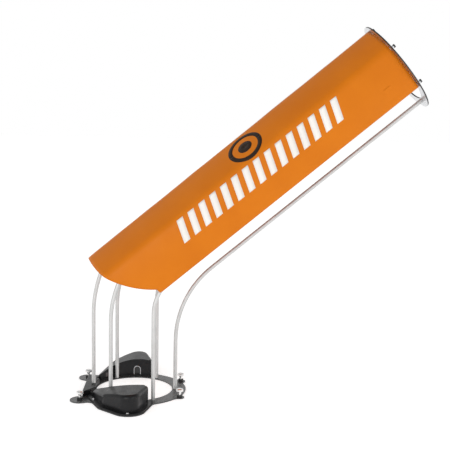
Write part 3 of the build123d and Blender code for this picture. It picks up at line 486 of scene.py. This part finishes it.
def lower_edge(distance):
    """Where the cover starts along the chute, for one line of its section."""
    _, up, _ = section_point(distance)
    x = CHUTE_NORMAL.x * up - CUT_CENTRE[0]
    z = BEND_POINT.z + CHUTE_NORMAL.z * up - CUT_CENTRE[1]
    along = x * CHUTE_DIR.x + z * CHUTE_DIR.z
    inside = max(along ** 2 - (x ** 2 + z ** 2 - CUT_RADIUS ** 2), 0.0)
    start = min(-along - math.sqrt(inside), FLAP_START)
    past_fold = (abs(distance) - LOWEST_DISTANCE) / COLUMN_STEP
    share = min(max(past_fold, 0.0), 1.0)
    return start + (SLEEVE_START - start) * share


def cover_columns():
    """Distances across the sheet, closer together where it turns tightly."""
    columns = [0.0]
    travelled = 0.0
    for length, curvature in SEGMENTS:
        fine = min(COLUMN_STEP, math.radians(15.0) / abs(curvature)) if curvature else COLUMN_STEP
        count = max(1, math.ceil(length / fine))
        columns.extend(travelled + length * (step + 1) / count for step in range(count))
        travelled += length
    return [-column for column in reversed(columns[1:])] + columns


def mesh_piece(name, points, faces, material, smooth=True):
    """A mesh object from points and faces, with one material."""
    mesh = bpy.data.meshes.new(name)
    mesh.from_pydata([tuple(point) for point in points], [], faces)
    mesh.validate()
    mesh.materials.append(material)
    mesh.polygons.foreach_set("use_smooth", [smooth] * len(mesh.polygons))
    piece = bpy.data.objects.new(name, mesh)
    bpy.context.scene.collection.objects.link(piece)
    return piece


def thick_grid(outer, inner):
    """Points and faces of a closed sheet between two grids of the same size."""
    rows, columns = len(outer), len(outer[0])
    points = [point for row in outer for point in row] + [point for row in inner for point in row]
    offset = rows * columns
    faces = []
    for row in range(rows - 1):
        for column in range(columns - 1):
            a = row * columns + column
            b, c, d = a + 1, a + columns + 1, a + columns
            faces.append((a, b, c, d))
            faces.append((offset + d, offset + c, offset + b, offset + a))
    rim = [column for column in range(columns)]
    rim += [row * columns + columns - 1 for row in range(1, rows)]
    rim += [(rows - 1) * columns + column for column in range(columns - 2, -1, -1)]
    rim += [row * columns for row in range(rows - 2, 0, -1)]
    for index, here in enumerate(rim):
        after = rim[(index + 1) % len(rim)]
        faces.append((after, here, offset + here, offset + after))
    return points, faces


def add_uv(piece, uv_of_point):
    """Lays UV coordinates, in metres of flat sheet, over a piece."""
    layer = piece.data.uv_layers.new(name="flat")
    for loop in piece.data.loops:
        layer.data[loop.index].uv = uv_of_point[loop.vertex_index]


def cover_sheet(material):
    """The sheet over five rods, open below, with a welded sleeve round each of the two lowest."""
    top = BEND_TO_MOUTH - COVER_TOP_GAP
    columns = cover_columns()
    starts = [lower_edge(distance) for distance in columns]
    outer, inner, flat = [], [], []
    for row in range(ROW_COUNT + 1):
        share = row / ROW_COUNT
        alongs = [start + (top - start) * share for start in starts]
        outer.append([on_cover(s, d, SHEET_THICKNESS / 2) for s, d in zip(alongs, columns)])
        inner.append([on_cover(s, d, -SHEET_THICKNESS / 2) for s, d in zip(alongs, columns)])
        flat.extend((d, s) for s, d in zip(alongs, columns))
    points, faces = thick_grid(outer, inner)
    piece = mesh_piece("cover", points, faces, material)
    add_uv(piece, flat + flat)
    area = 0.0
    for index in range(len(columns) - 1):
        mean_length = top - (starts[index] + starts[index + 1]) / 2
        area += mean_length * (columns[index + 1] - columns[index])
    return piece, (2 * HALF_WIDTH, top - min(starts)), area


# ---- Prints ----
def print_patch(name, patches, material):
    """Thin closed films on the cover's front. A patch is a grid of (along, above the facet's middle)."""
    points, faces = [], []
    for patch in patches:
        grids = []
        for lift in (SHEET_THICKNESS / 2 + PRINT_THICKNESS, SHEET_THICKNESS / 2 - PRINT_THICKNESS):
            grids.append([[on_cover(s, MIDDLE_DISTANCE - up, lift) for s, up in row] for row in patch])
        patch_points, patch_faces = thick_grid(*grids)
        base = len(points)
        points.extend(patch_points)
        faces.extend(tuple(base + corner for corner in face) for face in patch_faces)
    return mesh_piece(name, points, faces, material)


def bar_patch(start, width, centre):
    """One slanting bar of the white band."""
    rows = []
    for step in range(PRINT_STEPS + 1):
        height = BAND_HALF_HEIGHT * (2 * step / PRINT_STEPS - 1)
        left = start + height * BAND_SLANT
        rows.append([(left + width * part / 2, centre + height) for part in range(3)])
    return rows


def white_band():
    """An even row of slanting bars, a plain pattern in place of the lettering."""
    pitch = (BAND_END - BAND_START) / (BAND_BAR_COUNT - 1 + BAND_BAR_SHARE)
    patches = []
    for index in range(BAND_BAR_COUNT):
        share = index / (BAND_BAR_COUNT - 1)
        centre = BAND_LOW_CENTRE + (BAND_HIGH_CENTRE - BAND_LOW_CENTRE) * share
        patches.append(bar_patch(BAND_START + pitch * index, pitch * BAND_BAR_SHARE, centre))
    return patches


def ring_patch(inner_radius, outer_radius):
    """Half-turn strips that make a ring, or a disc with a small inner radius."""
    patches = []
    for half in range(2):
        rows = []
        for step in range(2 * PRINT_STEPS + 1):
            turn = math.pi * (half + step / (2 * PRINT_STEPS))
            row = []
            for part in range(3):
                radius = inner_radius + (outer_radius - inner_radius) * part / 2
                along = MARK_PLACE[0] + radius * math.cos(turn)
                row.append((along, MARK_PLACE[1] + radius * math.sin(turn)))
            rows.append(row)
        patches.append(rows)
    return patches


# ---- Studio ----
def camera():
    """The camera at the photograph's place."""
    sin_yaw, cos_yaw = math.sin(CAMERA_YAW), math.cos(CAMERA_YAW)
    ahead = math.cos(CAMERA_PITCH)
    forward = Vector((sin_yaw * ahead, cos_yaw * ahead, -math.sin(CAMERA_PITCH)))
    level = Vector((cos_yaw, -sin_yaw, 0.0))
    up = level.cross(forward)
    right = level * math.cos(CAMERA_ROLL) + up * math.sin(CAMERA_ROLL)
    top = up * math.cos(CAMERA_ROLL) - level * math.sin(CAMERA_ROLL)
    data = bpy.data.cameras.new("camera")
    data.lens = CAMERA_LENS
    data.sensor_width = SENSOR_WIDTH
    view = bpy.data.objects.new("camera", data)
    turn = Matrix((right, top, -forward)).transposed().to_4x4()
    view.matrix_world = Matrix.Translation(CAMERA_PLACE) @ turn
    bpy.context.scene.collection.objects.link(view)
    bpy.context.scene.camera = view


def soft_light(name, place, power):
    """A large square lamp aimed at the middle of the object."""
    data = bpy.data.lights.new(name, "AREA")
    data.size = LIGHT_SIZE
    data.energy = power
    lamp = bpy.data.objects.new(name, data)
    lamp.location = place
    lamp.rotation_euler = (Vector(LIGHT_TARGET) - Vector(place)).to_track_quat("-Z", "Y").to_euler()
    bpy.context.scene.collection.objects.link(lamp)


def sky():
    """A white studio that is a little darker overhead than at the horizon."""
    world = bpy.data.worlds.new("studio")
    world.use_nodes = True
    nodes, links = world.node_tree.nodes, world.node_tree.links
    coordinates = nodes.new("ShaderNodeTexCoord")
    split = nodes.new("ShaderNodeSeparateXYZ")
    fade = nodes.new("ShaderNodeMapRange")
    fade.inputs["From Min"].default_value = 0.15
    fade.inputs["From Max"].default_value = 0.9
    fade.inputs["To Min"].default_value = SKY_LOW
    fade.inputs["To Max"].default_value = SKY_HIGH
    links.new(coordinates.outputs["Generated"], split.inputs["Vector"])
    links.new(split.outputs["Z"], fade.inputs["Value"])
    links.new(fade.outputs["Result"], nodes["Background"].inputs["Strength"])
    nodes["Background"].inputs["Color"].default_value = (1.0, 1.0, 1.0, 1.0)
    bpy.context.scene.world = world
    bpy.context.scene.view_settings.view_transform = "Standard"


def floor():
    """A plain white floor, lit a little from below as a light table is."""
    material, shader = new_material("floor", (0.92, 0.92, 0.92), 0.8)
    vary_color(material, shader, noise(material, 0.8), (0.91, 0.91, 0.91), (0.93, 0.93, 0.93))
    shader.inputs["Emission Color"].default_value = (1.0, 1.0, 1.0, 1.0)
    shader.inputs["Emission Strength"].default_value = FLOOR_GLOW
    half = FLOOR_SIZE / 2
    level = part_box("base_plate")[0].z - FLOOR_DROP
    corners = [(-half, -half, level), (half, -half, level), (half, half, level), (-half, half, level)]
    mesh_piece("floor", corners, [(0, 1, 2, 3)], material)


# ---- Build ----
finish_cad_nodes()
blacken_rim(frame["nodes"]["top_ring"], CHUTE_DIR)

orange = coated_sheet("orange_sheet", *ORANGE, 0.36, 0.44)
white_ink = coated_sheet("white_ink", *WHITE_INK, 0.45, 0.55)
black_ink = coated_sheet("black_ink", *BLACK_INK, 0.4, 0.5)

cover, cover_flat, cover_area = cover_sheet(orange)
band = print_patch("cover_band", white_band(), white_ink)
mark = print_patch("cover_mark", ring_patch(*MARK_RING) + ring_patch(*MARK_DISC), black_ink)
for piece in (cover, band, mark):
    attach(piece, "root")
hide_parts("cover_sheet")

camera()
sky()
floor()
soft_light("key", *KEY_LIGHT)
soft_light("fill", *FILL_LIGHT)
